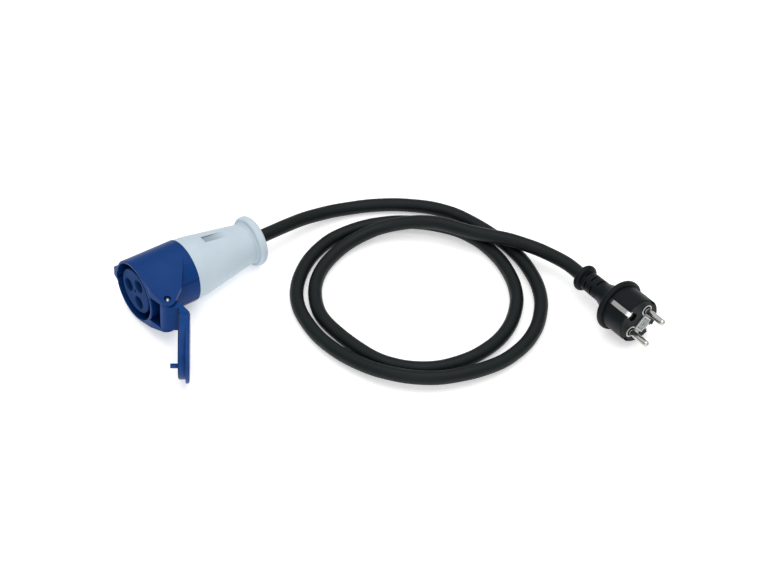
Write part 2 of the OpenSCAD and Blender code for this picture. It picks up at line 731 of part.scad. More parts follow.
module cable() {
    line = cable_line(cable_points, len(cable_points) - 1);
    rings = len(line);
    sides = cable_sides;
    corners = [for (i = [0 : rings - 1])
        let (ahead = unit(line[min(i + 1, rings - 1)] - line[max(i - 1, 0)]),
            across = unit(cross(ahead, [0, 0, 1])), up = cross(across, ahead))
        for (k = [0 : sides - 1])
            line[i] + cable_r * (across * cos(360 * k / sides) + up * sin(360 * k / sides))];
    skin = [for (i = [0 : rings - 2]) for (k = [0 : sides - 1])
        let (a = i * sides + k, b = i * sides + (k + 1) % sides) [a, b, b + sides, a + sides]];
    color(black) polyhedron(corners, concat(
        [[for (k = [sides - 1 : -1 : 0]) k]], skin,
        [[for (k = [0 : sides - 1]) (rings - 1) * sides + k]]));
}

// Moulded plug: barrel, collar, flared neck with staggered slits, and end ring
module plug_body() {
    color(black) plug_laid() difference() {
        union() {
            turned(concat([[0, 0], [barrel_r - edge, 0], [barrel_r, -edge], [barrel_r, collar_front]],
                arc([collar_r - collar_round, collar_front - collar_round], collar_round, 90, 0),
                arc([collar_r - collar_round, collar_rear + collar_round], collar_round, 0, -90),
                arc([neck_front_r + flare_r, neck_end], flare_r, 90, 180),
                [[neck_rear_r, -plug_len + ring_t], [neck_rear_r, ring_mid], [0, ring_mid]]));
            rod_x(-plug_len, -plug_len + ring_t, ring_r - ring_t / 2);
            translate([ring_mid, 0, 0]) rotate([0, 90, 0]) rotate_extrude()
                translate([ring_r - ring_t / 2, 0]) circle(d = ring_t);
        }
        rod_x(-plug_len - past, -plug_len + cable_hole + seat_gap, cable_r + seat_gap);
        // Slits on alternate sides of the strain relief
        for (i = [0 : slit_count - 1]) mirror([0, i % 2, 0]) translate([slit_first + i * slit_pitch, 0, 0])
            difference() {
                translate([0, slit_web, -ring_r]) cube([slit_w, ring_r, 2 * ring_r]);
                rod_x(-past, slit_w + past, slit_floor);
            }
        // Guide grooves at the ends of the pin line
        for (side = [0, 1]) mirror([0, side, 0])
            translate([collar_front + collar_t / 2, barrel_r - guide_depth, -guide_w / 2])
                cube([barrel_len, guide_depth + past, guide_w]);
        // Channels for the earth clips, wider at the face for their heads
        for (side = [0, 1]) mirror([0, 0, side]) {
            translate([collar_front - clip_root, -clip_w / 2 - seat_gap, channel_floor])
                cube([barrel_len + clip_root + past, clip_w + 2 * seat_gap, clip_t + seat_gap + past / 4]);
            translate([clip_head_x - clip_t - seat_gap, -clip_head_w / 2 - seat_gap,
                clip_head_in - seat_gap])
                cube([past - clip_head_x + clip_t, clip_head_w + 2 * seat_gap, barrel_r]);
        }
        // Seats for the bridge, the pins and the earth socket
        for (side = [-1, 1]) translate([0, side * plug_pin_gap / 2, 0]) {
            rod_x(-bridge_t - seat_gap, past, pin_well_r + bridge_ring + seat_gap);
            rod_x(-pin_root - seat_gap, past, plug_pin_r + seat_gap);
        }
        translate([-bridge_t - seat_gap, -plug_pin_gap / 2, bridge_off - bridge_w / 2 - seat_gap])
            cube([bridge_t + past + seat_gap, plug_pin_gap, bridge_w + 2 * seat_gap]);
        translate([0, 0, earth_hole_out])
            rod_x(-socket_len - seat_gap, past, earth_hole_d / 2 + socket_wall + seat_gap);
    }
}

// Pale insert round the pins: a ring at each pin, and a raised block with a rim and moulding dents
module pin_bridge() {
    color(grey) plug_laid() difference() {
        union() {
            for (side = [-1, 1]) translate([0, side * plug_pin_gap / 2, 0])
                rod_x(-bridge_t, 0, pin_well_r + bridge_ring);
            translate([-bridge_t, -plug_pin_gap / 2, bridge_off - bridge_w / 2])
                cube([bridge_t - edge, plug_pin_gap, bridge_w]);
            translate([-bridge_t, -bridge_len / 2, bridge_off - bridge_w / 2])
                cube([bridge_t + bridge_proud, bridge_len, bridge_w]);
        }
        for (side = [-1, 1]) {
            translate([0, side * plug_pin_gap / 2, 0]) {
                rod_x(-pin_well, past, pin_well_r);
                rod_x(-bridge_t - past, past, plug_pin_r + seat_gap);
            }
            translate([bridge_proud - dent_depth, side * bridge_len * 0.36 - dent_w / 2,
                bridge_off + dent_w])
                cube([bridge_proud, dent_w, dent_w]);
        }
        translate([0, 0, bridge_off]) rod_x(bridge_proud - dent_depth, bridge_proud + past, dent_w);
        translate([bridge_proud - panel_sink, bridge_rim - bridge_len / 2,
            bridge_off + bridge_rim - bridge_w / 2])
            cube([bridge_proud, bridge_len - 2 * bridge_rim, bridge_w - 2 * bridge_rim]);
    }
}

// One pin with a rounded tip and a thinner root
module plug_pin(side) {
    root_r = plug_pin_r * 0.85;
    color(steel) plug_laid() translate([0, side * plug_pin_gap / 2, 0]) {
        rod_x(-pin_root, -pin_well, root_r);
        rod_x(-pin_well, plug_pin_len - plug_pin_r, plug_pin_r);
        translate([plug_pin_len - plug_pin_r, 0, 0]) sphere(r = plug_pin_r);
    }
}

module plug_pin_line() { plug_pin(1); }
module plug_pin_neutral() { plug_pin(-1); }

// One earth clip: a strip along the barrel, bent in at the face to a wider head
module earth_clip() {
    color(steel) translate([collar_front - clip_root + seat_gap, 0, 0]) {
        reach = clip_head_x + barrel_len + clip_root - seat_gap;
        translate([0, -clip_w / 2, channel_floor + seat_gap]) cube([reach, clip_w, clip_t]);
        translate([reach - clip_t, -clip_w / 2, clip_head_in])
            cube([clip_t, clip_w, channel_floor + seat_gap + clip_t - clip_head_in]);
        translate([reach - clip_t, -clip_head_w / 2, clip_head_in]) cube([clip_t, clip_head_w, clip_t]);
    }
}

module earth_clip_upper() { plug_laid() earth_clip(); }
module earth_clip_lower() { plug_laid() mirror([0, 0, 1]) earth_clip(); }

module earth_socket() {
    color(steel) plug_laid() translate([0, 0, earth_hole_out]) difference() {
        rod_x(-socket_len, -socket_sink, earth_hole_d / 2 + socket_wall);
        rod_x(-socket_len + past, past, earth_hole_d / 2);
    }
}

sleeve();
contact_carrier();
contact_line();
contact_neutral();
contact_earth();
terminal_screws();
hinge_pin();
lid();
lid_gasket();
grip();
housing_seal();
cable_clamp();
clamp_screws();
cable_seal();
core_line();
core_neutral();
core_earth();
cable();
plug_body();
pin_bridge();
plug_pin_line();
plug_pin_neutral();
earth_clip_upper();
earth_clip_lower();
earth_socket();
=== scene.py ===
"""Looks of a power adapter cable: blue coupler with a hinged lid, pale grip, rubber cable, moulded plug."""
import math

import bpy
import numpy as np
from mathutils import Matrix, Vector


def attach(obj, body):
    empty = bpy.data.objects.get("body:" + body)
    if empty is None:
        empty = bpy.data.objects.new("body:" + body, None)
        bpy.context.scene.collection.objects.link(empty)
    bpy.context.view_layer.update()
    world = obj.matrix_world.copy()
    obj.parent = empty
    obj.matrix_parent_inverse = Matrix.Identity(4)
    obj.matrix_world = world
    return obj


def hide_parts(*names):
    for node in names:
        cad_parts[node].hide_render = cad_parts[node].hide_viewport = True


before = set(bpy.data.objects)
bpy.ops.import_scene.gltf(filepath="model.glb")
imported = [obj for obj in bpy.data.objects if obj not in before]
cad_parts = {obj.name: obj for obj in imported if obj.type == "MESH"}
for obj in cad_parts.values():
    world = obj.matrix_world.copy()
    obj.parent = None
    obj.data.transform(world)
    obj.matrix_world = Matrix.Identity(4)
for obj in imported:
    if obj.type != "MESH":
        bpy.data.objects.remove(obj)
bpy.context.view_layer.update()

MM = 0.001

# Camera: the photograph's view, from above and in front of the coupler's mouth
VIEW_AZIMUTH = math.radians(143.0)
VIEW_ELEVATION = math.radians(45.0)
VIEW_DISTANCE = 1.5
VIEW_TARGET = Vector((-0.1611, 0.0903, -0.0268))
VIEW_LENS = 93.5
VIEW_REACH = 20.0

# Sizes shared with the part: the floor under it, and the coupler and the plug, which both lie nose up, the
# plug on its collar's rear edge
FLOOR_Z = -26.8464 * MM
NOSE_UP = math.radians(4.2273)
COUPLER_AXIS = np.array([math.cos(NOSE_UP), 0.0, math.sin(NOSE_UP)])
COUPLER_TOP = np.array([-math.sin(NOSE_UP), 0.0, math.cos(NOSE_UP)])
HINGE_SIDE = np.array([0.0, 1.0, 0.0])
GRIP_REAR = -102.5 * MM
JACKET_END = -73.3 * MM
PLUG_AT = np.array([-273.0, 237.8, -5.3274]) * MM
PLUG_HEADING = math.radians(89.0)
PLUG_UP = math.radians(4.0)
PLUG_AXIS = np.array([
    math.cos(PLUG_HEADING) * math.cos(PLUG_UP),
    math.sin(PLUG_HEADING) * math.cos(PLUG_UP),
    math.sin(PLUG_UP),
])
PLUG_FACE = float(PLUG_AT @ PLUG_AXIS)
PLUG_LENGTH = 62.5 * MM
PLUG_HOLE = 20.0 * MM

# Relief in the sleeve behind the ears: where it starts, how high its edges lie above and below the axis,
# how far out on the hinge side, and half the width of the painted shadow line along them
RELIEF_FRONT = -23.5 * MM
RELIEF_EDGE = 8.8 * MM
RELIEF_OUT = 21.5 * MM
RELIEF_SHADOW_LINE = 0.45 * MM

# Latch slots of the grip: their deep front end, where their painted shade starts to fade, their rear end,
# their width, and the way that the painted shade's edge takes
SLOT_FRONT = -57.0 * MM
SLOT_FADE = -64.0 * MM
SLOT_REAR = -77.0 * MM
SLOT_WIDTH = 6.6 * MM
SLOT_SOFT = 0.1 * MM

# Earth strips: how far behind the plug's face the moulding covers them, the way its edge takes, and where
# the painted highlight on the bent end starts and is full
STRIP_COVER = 16.6 * MM
STRIP_FADE = 0.2 * MM
BENT_END_FROM = 2.0 * MM
BENT_END_FULL = 1.5 * MM

# Sunk panel of the pin bridge: its floor lies between these heights over the plug's face
PANEL_LOW = 0.3 * MM
PANEL_HIGH = 0.9 * MM
PANEL_FADE = 0.1 * MM

# Flare of the plug's neck: its ends, its radius at the neck, the slope that it bends into and how softly,
# and the rows and sides of its mesh
FLARE_START = -41.5 * MM
FLARE_END = -24.0 * MM
FLARE_NECK_R = 7.6 * MM
FLARE_SLOPE = 0.5
FLARE_BEND = 2.84 * MM
FLARE_ROWS = 24
FLARE_SIDES = 96

# Cable: its size, its mesh, the twist of its cores that shows through the jacket, and the points it follows
# as x, y and lift above lying flat on the floor, in millimetres
CABLE_D = 10.4 * MM
CABLE_STRAIGHT = 1.5 * CABLE_D
CABLE_FLOOR_GAP = 0.3 * MM
CABLE_RINGS_PER_SPAN = 16
CABLE_SIDES = 28
CABLE_LAY_PITCH = 75.0 * MM
CABLE_LAY_HEIGHT = 0.05 * MM
CABLE_CORES = 3
CABLE_ROUTE = np.array([
    [-151, -3, 6], [-185, 2, 0.5], [-215, 18, 0], [-245, 50, 0], [-256, 86, 0], [-257, 129, 0],
    [-242, 167, 0], [-214, 191, 0], [-182, 199, 1], [-153, 195, 3], [-127, 183, 4], [-106, 161, 4],
    [-93, 130, 2], [-90, 92, 0], [-99, 59, 0], [-121, 36, 0], [-155, 23, 0], [-190, 28, 0],
    [-222, 49, 0], [-242, 80, 0], [-244, 118, 0], [-228, 156, 0], [-198, 178, 0], [-163, 182, 0],
    [-134, 172, 0], [-114, 151, 0], [-104, 116, 0], [-105, 78, 0], [-123, 51, 0], [-156, 36, 1],
    [-190, 39, 5], [-220, 61, 11], [-241, 92, 11], [-257, 114, 11], [-269, 137, 10],
])


# Camera

def add_camera():
    """Camera on the view direction, looking at the target, with its picture upright."""
    back = Vector((
        math.sin(VIEW_AZIMUTH) * math.cos(VIEW_ELEVATION),
        -math.cos(VIEW_AZIMUTH) * math.cos(VIEW_ELEVATION),
        math.sin(VIEW_ELEVATION),
    ))
    camera = bpy.data.objects.new("camera", bpy.data.cameras.new("camera"))
    camera.data.lens = VIEW_LENS
    camera.data.clip_end = VIEW_REACH
    camera.location = VIEW_TARGET + back * VIEW_DISTANCE
    camera.rotation_euler = back.to_track_quat("Z", "Y").to_euler()
    bpy.context.collection.objects.link(camera)
    bpy.context.scene.camera = camera


# Meshes from arrays

def grid_faces(rows, columns):
    """Quads of a grid of rows by columns whose columns close on themselves, as four index columns."""
    row, column = np.meshgrid(np.arange(rows - 1), np.arange(columns), indexing="ij")
    here = row * columns + column
    beside = row * columns + (column + 1) % columns
    return np.stack([here, beside, beside + columns, here + columns], axis=-1).reshape(-1, 4)


def tube_faces(rows, columns):
    """Faces of a closed tube of rings: the quads of its wall, then a cap at each end."""
    first = np.arange(columns)
    caps = [first[::-1], first + (rows - 1) * columns]
    return grid_faces(rows, columns).tolist() + [cap.tolist() for cap in caps]


def ring_angles(count):
    """Even angles round one ring, from its foot."""
    return np.linspace(0.0, 2 * np.pi, count, endpoint=False)


def carried_rings(path, heading, radius):
    """Rings carried along a path, square to its headings, with a radius for each row and column. A ring's
    side is level and its top is square to side and heading. A point lies off the path by its radius times
    the side by the angle's sine, less the top by its cosine."""
    side = np.cross([0.0, 0.0, 1.0], heading)
    side /= np.linalg.norm(side, axis=1, keepdims=True)
    top = np.cross(heading, side)
    angle = ring_angles(radius.shape[1])[None, :, None]
    ring = side[:, None] * np.sin(angle) - top[:, None] * np.cos(angle)
    return (path[:, None] + radius[..., None] * ring).reshape(-1, 3)


def mesh_piece(name, points, faces, corner_uv=None):
    """Smooth mesh object at the origin, with an optional uv pair for each face corner."""
    mesh = bpy.data.meshes.new(name)
    mesh.from_pydata(points.tolist(), [], faces)
    if corner_uv is not None:
        layer = mesh.uv_layers.new(name="surface")
        layer.data.foreach_set("uv", corner_uv.astype(np.float32).ravel())
    mesh.polygons.foreach_set("use_smooth", np.ones(len(mesh.polygons), bool))
    mesh.validate()
    piece = bpy.data.objects.new(name, mesh)
    bpy.context.collection.objects.link(piece)
    return piece


# Cable

def lying(x):
    """Point on the axis of the lying coupler, x ahead of the origin."""
    return x * COUPLER_AXIS


def on_plug_axis(x):
    """Point on the plug's axis, x ahead of the plug's face."""
    return PLUG_AT + x * PLUG_AXIS


def cable_points():
    """Points of the route: straight out of the grip, along the floor, then straight into the plug."""
    lift = FLOOR_Z + CABLE_FLOOR_GAP + CABLE_D / 2
    floor_run = CABLE_ROUTE * MM + np.array([0.0, 0.0, lift])
    leaving = [lying(JACKET_END), lying(GRIP_REAR), lying(GRIP_REAR - CABLE_STRAIGHT)]
    entering = [
        on_plug_axis(-PLUG_LENGTH - CABLE_STRAIGHT),
        on_plug_axis(-PLUG_LENGTH),
        on_plug_axis(-PLUG_LENGTH + PLUG_HOLE),
    ]
    return np.vstack([leaving, floor_run, entering])


def smooth_path(points, per_span):
    """Cubic through the points: the heading at each is the mean of the legs back and ahead, weighted by the
    other leg's length, and each span blends its two ends and headings by the cubic Hermite weights."""
    leg = np.diff(points, axis=0)
    span = np.linalg.norm(leg, axis=1, keepdims=True)
    back = np.vstack([leg[:1], leg])
    ahead = np.vstack([leg, leg[-1:]])
    back_span = np.vstack([span[:1], span])
    ahead_span = np.vstack([span, span[-1:]])
    heading = (back * ahead_span / back_span + ahead * back_span / ahead_span) / (back_span + ahead_span)
    t = np.linspace(0.0, 1.0, per_span, endpoint=False)[None, :, None]
    u = 1.0 - t
    start = points[:-1, None]
    end = points[1:, None]
    out = (heading[:-1] * span)[:, None]
    into = (heading[1:] * span)[:, None]
    curve = start * (1 + 2 * t) * u**2 + out * t * u**2 + end * t**2 * (3 - 2 * t) - into * t**2 * u
    return np.vstack([curve.reshape(-1, 3), points[-1:]])


def cable_piece():
    """Rubber jacket: a circle carried along the path. Its radius swells a little over the twisted cores in
    it: half the thickness, less the lay's height, plus that height times the cosine of the cores' count
    times the angle past a helix along the length. Its uv is metres round and metres along."""
    path = smooth_path(cable_points(), CABLE_RINGS_PER_SPAN)
    step = np.linalg.norm(np.diff(path, axis=0), axis=1)
    run = np.concatenate([[0.0], np.cumsum(step)])
    heading = np.gradient(path, run, axis=0)
    heading /= np.linalg.norm(heading, axis=1, keepdims=True)
    helix = 2 * np.pi * run[:, None] / CABLE_LAY_PITCH
    lay = np.cos(CABLE_CORES * (ring_angles(CABLE_SIDES) - helix))
    points = carried_rings(path, heading, CABLE_D / 2 - CABLE_LAY_HEIGHT + CABLE_LAY_HEIGHT * lay)

    rows = len(path)
    round_step = np.pi * CABLE_D / CABLE_SIDES
    row, column = np.divmod(np.arange((rows - 1) * CABLE_SIDES), CABLE_SIDES)
    corner_u = (column[:, None] + np.array([0, 1, 1, 0])) * round_step
    corner_v = run[row[:, None] + np.array([0, 0, 1, 1])]
    cap_uv = np.zeros((2 * CABLE_SIDES, 2))
    corner_uv = np.vstack([np.stack([corner_u, corner_v], axis=-1).reshape(-1, 2), cap_uv])
    return mesh_piece("cable_jacket", points, tube_faces(rows, CABLE_SIDES), corner_uv), path


# Plug

def flare_piece():
    """Flare of the plug's neck: a circle square to the plug's axis whose radius grows from the neck to the
    collar as a hyperbola does: neck radius, plus the root of slope times way squared and bend squared, less
    the bend. Both ends lie inside the plug's body."""
    way = np.linspace(0.0, FLARE_END - FLARE_START, FLARE_ROWS)
    radius = FLARE_NECK_R + np.hypot(FLARE_SLOPE * way, FLARE_BEND) - FLARE_BEND
    middle = PLUG_AT + (FLARE_START + way)[:, None] * PLUG_AXIS
    heading = np.tile(PLUG_AXIS, (FLARE_ROWS, 1))
    points = carried_rings(middle, heading, np.tile(radius[:, None], (1, FLARE_SIDES)))
    return mesh_piece("plug_flare", points, tube_faces(FLARE_ROWS, FLARE_SIDES))


# Shader nodes

COLOUR = "NodeSocketColor"
VALUE = "NodeSocketFloat"
VECTOR = "NodeSocketVector"

# Noise: how fine each kind goes, and how rough its finer steps are
FLOW_DETAIL = 3.0
GRAIN_DETAIL = 2.0
LINE_DETAIL = 4.0
NOISE_ROUGHNESS = 0.55

# Range of the noise that flow marks and tarnish spread over
FLOW_RANGE = (0.3, 0.7)
TARNISH_RANGE = (0.42, 0.78)

# Share of open sky, in a hollow and on a plain face, between which a moulding's colour deepens as painted
# shade
CREASE_SHADE_RANGE = (0.35, 0.9)
CREASE_SHADE_SAMPLES = 8

# Rounding of sharp edges in the light
EDGE_ROUND = 0.35 * MM
EDGE_SAMPLES = 6


def new_group(name, inputs, outputs):
    """Shader node group with sockets given as name and socket type; returns its tree, inlet and outlet."""
    tree = bpy.data.node_groups.new(name, "ShaderNodeTree")
    for label, kind in inputs:
        tree.interface.new_socket(label, in_out="INPUT", socket_type=kind)
    for label, kind in outputs:
        tree.interface.new_socket(label, in_out="OUTPUT", socket_type=kind)
    return tree, tree.nodes.new("NodeGroupInput"), tree.nodes.new("NodeGroupOutput")


def maths(tree, operation, first, second=None):
    """Math node on sockets or plain numbers: returns its value socket."""
    node = tree.nodes.new("ShaderNodeMath")
    node.operation = operation
    for socket, value in zip(node.inputs, (first, second)):
        if value is None:
            continue
        if isinstance(value, (int, float)):
            socket.default_value = value
        else:
            tree.links.new(value, socket)
    return node.outputs["Value"]


def noise(tree, place, size, detail):
    """Noise whose features are about as wide as the size socket says: returns its value socket."""
    node = tree.nodes.new("ShaderNodeTexNoise")
    node.inputs["Detail"].default_value = detail
    node.inputs["Roughness"].default_value = NOISE_ROUGHNESS
    tree.links.new(place, node.inputs["Vector"])
    tree.links.new(maths(tree, "DIVIDE", 1.0, size), node.inputs["Scale"])
    return node.outputs["Fac"]


def stretch(tree, value, low, high, out_low=0.0, out_high=1.0):
    """Value mapped from low..high to out_low..out_high and held within it: returns its socket."""
    node = tree.nodes.new("ShaderNodeMapRange")
    node.inputs["From Min"].default_value = low
    node.inputs["From Max"].default_value = high
    node.inputs["To Min"].default_value = out_low
    node.inputs["To Max"].default_value = out_high
    tree.links.new(value, node.inputs["Value"])
    return node.outputs["Result"]


def swing(tree, value, spread):
    """Value from nought to one, made to swing about nought by a spread socket: returns its socket."""
    return maths(tree, "MULTIPLY", maths(tree, "SUBTRACT", value, 0.5), spread)


def overlap(tree, *shares):
    """Product of shares, full only where all of them are: returns its socket."""
    product = shares[0]
    for share in shares[1:]:
        product = maths(tree, "MULTIPLY", product, share)
    return product


def blend_colours(tree, share, first, second):
    """Mix of two colours, each a socket or a plain colour, by a share: returns the colour socket."""
    node = tree.nodes.new("ShaderNodeMix")
    node.data_type = "RGBA"
    tree.links.new(share, node.inputs["Factor"])
    for label, colour in (("A", first), ("B", second)):
        if isinstance(colour, tuple):
            node.inputs[label].default_value = (*colour, 1.0)
        else:
            tree.links.new(colour, node.inputs[label])
    return node.outputs["Result"]


def moulded_skin_group():
    """Skin of a moulding: cloudy flow tone between two colours, painted shade in creases, uneven gloss,
    and a fine spark-eroded grain."""
    tree, inlet, outlet = new_group(
        "moulded_skin",
        [("Place", VECTOR), ("Colour", COLOUR), ("Flow Colour", COLOUR), ("Painted Crease Shade", COLOUR),
         ("Flow Size", VALUE), ("Grain Size", VALUE), ("Crease Shade Size", VALUE), ("Roughness", VALUE),
         ("Gloss Spread", VALUE)],
        [("Colour", COLOUR), ("Roughness", VALUE), ("Height", VALUE)],
    )
    given = inlet.outputs
    flow = stretch(tree, noise(tree, given["Place"], given["Flow Size"], FLOW_DETAIL), *FLOW_RANGE)
    grain = noise(tree, given["Place"], given["Grain Size"], GRAIN_DETAIL)
    # Painted shade: the colour deepens where ambient occlusion finds the surface closed in
    openness = tree.nodes.new("ShaderNodeAmbientOcclusion")
    openness.samples = CREASE_SHADE_SAMPLES
    tree.links.new(given["Crease Shade Size"], openness.inputs["Distance"])
    open_share = stretch(tree, openness.outputs["AO"], *CREASE_SHADE_RANGE)
    skin = blend_colours(tree, flow, given["Colour"], given["Flow Colour"])
    colour = blend_colours(tree, open_share, given["Painted Crease Shade"], skin)
    gloss = maths(tree, "ADD", given["Roughness"], swing(tree, flow, given["Gloss Spread"]))
    roughness = maths(tree, "ADD", gloss, swing(tree, grain, given["Gloss Spread"]))
    tree.links.new(colour, outlet.inputs["Colour"])
    tree.links.new(roughness, outlet.inputs["Roughness"])
    tree.links.new(grain, outlet.inputs["Height"])
    return tree


def drawn_metal_group():
    """Drawn or turned metal: fine lines where the place is squeezed along them, gloss that follows the
    lines, and soft cloudy tarnish."""
    tree, inlet, outlet = new_group(
        "drawn_metal",
        [("Place", VECTOR), ("Lines", VECTOR), ("Colour", COLOUR), ("Tarnish Colour", COLOUR),
         ("Line Size", VALUE), ("Tarnish Size", VALUE), ("Roughness", VALUE), ("Gloss Spread", VALUE)],
        [("Colour", COLOUR), ("Roughness", VALUE), ("Height", VALUE)],
    )
    given = inlet.outputs
    lines = noise(tree, given["Lines"], given["Line Size"], LINE_DETAIL)
    tarnish = stretch(tree, noise(tree, given["Place"], given["Tarnish Size"], FLOW_DETAIL), *TARNISH_RANGE)
    colour = blend_colours(tree, tarnish, given["Colour"], given["Tarnish Colour"])
    roughness = maths(tree, "ADD", given["Roughness"], swing(tree, lines, given["Gloss Spread"]))
    tree.links.new(colour, outlet.inputs["Colour"])
    tree.links.new(roughness, outlet.inputs["Roughness"])
    tree.links.new(lines, outlet.inputs["Height"])
    return tree


MOULDED_SKIN = moulded_skin_group()
DRAWN_METAL = drawn_metal_group()


# Colours and finishes

BLUE = (0.0035, 0.041, 0.182)
DEEP_BLUE = (0.0025, 0.035, 0.162)
NAVY_SHADE = (0.001, 0.012, 0.065)
BLACK = (0.0028, 0.0052, 0.0064)
SOFT_BLACK = (0.0040, 0.0068, 0.0080)
PIT_SHADE_BLACK = (0.0010, 0.0016, 0.0020)
SLOT_SHADE_GREY = (0.300, 0.365, 0.430)
PANEL_GREY = (0.30, 0.32, 0.32)
HIGHLIGHT_NICKEL = (0.88, 0.88, 0.87)

# What all mouldings share unless their finish says otherwise: width of flow marks, how far the gloss
# varies, strength of the mirror, width of the hollows that get painted shade, and strength of the grain
FLOW_SIZE = 22.0 * MM
GLOSS_SPREAD = 0.08
MIRROR_LEVEL = 0.2
CREASE_SHADE_REACH = 5.0 * MM
GRAIN_STRENGTH = 0.6

# Mouldings by name: the nodes that wear each, and its finish, which the wires share but for their colours;
# the crease colour of each is painted shade in its hollows
INSULATION = {"roughness": 0.4, "grain": 0.3 * MM, "depth": 0.02 * MM}
MOULDINGS = {
    "blue_housing": (["sleeve"], {
        "colour": BLUE, "flow_colour": DEEP_BLUE, "crease_shade": NAVY_SHADE, "roughness": 0.40,
        "grain": 0.30 * MM, "depth": 0.03 * MM, "level": 0.1, "reach": 9.0 * MM,
    }),
    # The lid wears the housing's blue painted lighter, for the light that falls on it, with painted shade
    # that reaches less far
    "blue_lid_painted_lighter": (["lid"], {
        "colour": (0.0050, 0.052, 0.225), "flow_colour": BLUE, "crease_shade": NAVY_SHADE, "roughness": 0.40,
        "grain": 0.30 * MM, "depth": 0.03 * MM, "level": 0.1, "reach": 4.0 * MM,
    }),
    "blue_insert": (["contact_carrier"], {
        "colour": (0.0055, 0.036, 0.148), "flow_colour": (0.004, 0.033, 0.138),
        "crease_shade": (0.001, 0.006, 0.026), "roughness": 0.5, "grain": 0.35 * MM, "depth": 0.03 * MM,
        "level": 0.03, "reach": 8.0 * MM,
    }),
    "pale_grip": (["grip"], {
        "colour": (0.525, 0.615, 0.675), "flow_colour": (0.495, 0.585, 0.650), "crease_shade": (0.26, 0.32, 0.37),
        "roughness": 0.5, "grain": 0.28 * MM, "depth": 0.04 * MM,
    }),
    "plug_rubber": (["plug_body"], {
        "colour": BLACK, "flow_colour": SOFT_BLACK, "crease_shade": PIT_SHADE_BLACK, "roughness": 0.44,
        "grain": 0.35 * MM, "depth": 0.05 * MM, "spread": 0.12, "level": 0.13,
    }),
    "seal_rubber": (["lid_gasket", "housing_seal", "cable_seal"], {
        "colour": SOFT_BLACK, "flow_colour": BLACK, "crease_shade": PIT_SHADE_BLACK, "roughness": 0.62,
        "grain": 0.4 * MM, "depth": 0.05 * MM,
    }),
    "grey_insert": (["pin_bridge", "cable_clamp"], {
        "colour": (0.66, 0.68, 0.68), "flow_colour": (0.56, 0.58, 0.58), "crease_shade": (0.04, 0.045, 0.045),
        "roughness": 0.45, "grain": 0.3 * MM, "depth": 0.03 * MM, "flow": 3.0 * MM, "reach": 2.5 * MM,
    }),
    "wire_brown": (["core_line"], {
        "colour": (0.15, 0.055, 0.022), "flow_colour": (0.12, 0.042, 0.017), "crease_shade": (0.12, 0.042, 0.017),
        **INSULATION,
    }),
    "wire_blue": (["core_neutral"], {
        "colour": (0.03, 0.15, 0.42), "flow_colour": (0.025, 0.12, 0.36), "crease_shade": (0.025, 0.12, 0.36),
        **INSULATION,
    }),
    "wire_green": (["core_earth"], {
        "colour": (0.28, 0.42, 0.03), "flow_colour": (0.24, 0.38, 0.03), "crease_shade": (0.24, 0.38, 0.03),
        **INSULATION,
    }),
}

# Rubber jacket of the cable: its finish, with painted shade in its creases, how far grain and streaks
# are drawn along it, its mirror and grain
JACKET_SKIN = {
    "Colour": (0.0030, 0.0062, 0.0064), "Flow Colour": (0.0045, 0.0085, 0.0086),
    "Painted Crease Shade": (0.0020, 0.0040, 0.0042), "Flow Size": 14.0 * MM, "Grain Size": 0.45 * MM,
    "Crease Shade Size": 5.0 * MM, "Roughness": 0.46, "Gloss Spread": 0.14,
}
JACKET_DRAW = (1.0, 0.3, 1.0)
JACKET_LEVEL = 0.18
JACKET_DEPTH = 0.05 * MM
JACKET_STRENGTH = 0.5

# What all metals share: width, depth and strength of the lines, how far they vary the gloss, and the width
# of the tarnish
LINE_SIZE = 0.25 * MM
LINE_DEPTH = 0.004 * MM
LINE_STRENGTH = 0.4
LINE_SPREAD = 0.2
TARNISH_SIZE = 6.0 * MM

# Turn of the lines onto the coupler's or the plug's axis, and squeeze along the lines
ALONG_COUPLER = (0.0, NOSE_UP, 0.0)
ALONG_PLUG = (0.0, PLUG_UP, -PLUG_HEADING)
TURNED = (1.0, 0.15, 0.15)
DRAWN = (0.2, 1.0, 1.0)
LONG_DRAWN = (0.06, 1.0, 1.0)

# Metals by name: the nodes that wear each, and its finish
METALS = {
    "turned_brass": (["contact_line", "contact_neutral", "contact_earth"], {
        "colour": (0.60, 0.40, 0.15), "tarnish": (0.30, 0.19, 0.07), "roughness": 0.30,
        "turn": ALONG_COUPLER, "squeeze": TURNED,
    }),
    "dull_socket": (["earth_socket"], {
        "colour": (0.30, 0.30, 0.29), "tarnish": (0.18, 0.18, 0.17), "roughness": 0.40,
        "turn": ALONG_PLUG, "squeeze": LONG_DRAWN,
    }),
    "zinc_steel": (["terminal_screws", "hinge_pin", "clamp_screws"], {
        "colour": (0.72, 0.73, 0.75), "tarnish": (0.60, 0.60, 0.58), "roughness": 0.28,
        "turn": ALONG_COUPLER, "squeeze": DRAWN,
    }),
    "nickel_pin": (["plug_pin_line", "plug_pin_neutral"], {
        "colour": (0.60, 0.59, 0.56), "tarnish": (0.44, 0.43, 0.40), "roughness": 0.16,
        "turn": ALONG_PLUG, "squeeze": LONG_DRAWN,
    }),
    "nickel_strip": (["earth_clip_upper", "earth_clip_lower"], {
        "colour": (0.48, 0.49, 0.48), "tarnish": (0.40, 0.41, 0.40), "roughness": 0.34,
        "turn": ALONG_PLUG, "squeeze": LONG_DRAWN,
    }),
}


# Materials

def new_material(name):
    """Empty material with a Principled shader: returns material, tree and shader."""
    material = bpy.data.materials.new(name)
    material.use_nodes = True
    tree = material.node_tree
    return material, tree, tree.nodes["Principled BSDF"]


def place_group(tree, group, values):
    """Group node in a material with its colours and numbers set by socket name."""
    node = tree.nodes.new("ShaderNodeGroup")
    node.node_tree = group
    for label, value in values.items():
        node.inputs[label].default_value = (*value, 1.0) if isinstance(value, tuple) else value
    return node


